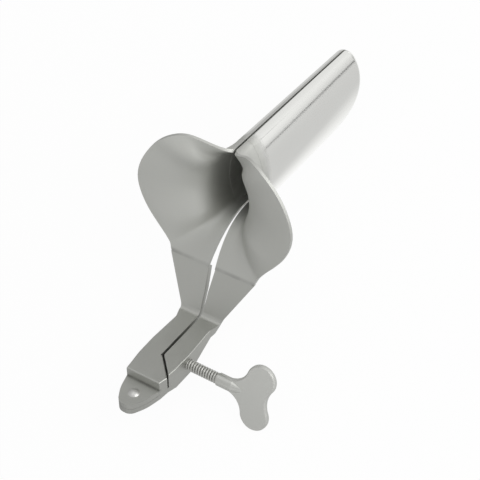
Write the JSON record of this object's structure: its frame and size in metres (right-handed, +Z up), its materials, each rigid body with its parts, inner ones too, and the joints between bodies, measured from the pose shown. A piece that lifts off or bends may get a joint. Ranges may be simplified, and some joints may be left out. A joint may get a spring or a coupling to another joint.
{
  "type": "bivalve speculum",
  "caption": "Bivalve vaginal speculum: two flared trough blades on bent handles, pivoting on a rivet and spread by a thumb screw with a flat wing.",
  "frame": {"origin": "centre of the outline seen from above, at the height of the lowest point, the wing's lower lobe", "axes": "+Y along the blades towards their tips, level with the line under the blades' tips and the handles' soles; +X towards the thumb screw; +Z up"},
  "size_m": [0.0892, 0.1968, 0.0812],
  "materials": {
    "polished_sheet": "satin inside the mouth, polished on the blade",
    "satin_forging": "satin",
    "rivet_steel": "polished head",
    "screw_steel": "machined thread",
    "wing_steel": "satin"
  },
  "bodies": {
    "left_half": {"left_valve": "polished_sheet", "left_handle": "satin_forging", "pivot_rivet": "rivet_steel"},
    "right_half": {"right_valve": "polished_sheet", "right_handle": "satin_forging"},
    "screw_travel": {"screw_spindle": "screw_steel"},
    "screw_turn": {"screw_wing": "wing_steel"}
  },
  "joints": [
    {"name": "blade_pivot", "type": "hinge", "parent": "left_half", "child": "right_half", "pos_m": [-0.00639, -0.08984, 0.02215], "axis": [0, -0.3514, -0.9362], "range_deg": [0, 29]},
    {"name": "screw_advance", "type": "slide", "parent": "right_half", "child": "screw_travel", "axis": [-1, 0, 0], "range_m": [0, 0.0128]},
    {"name": "screw_turn", "type": "hinge", "parent": "screw_travel", "child": "screw_turn", "pos_m": [0.01361, -0.06559, 0.01219], "axis": [-1, 0, 0], "range_deg": [0, 3660]}
  ],
  "couplings": [
    {"joint": "screw_advance", "follows": "blade_pivot", "m_per_rad": 0.0249},
    {"joint": "screw_turn", "follows": "blade_pivot", "ratio": 125.16}
  ]
}
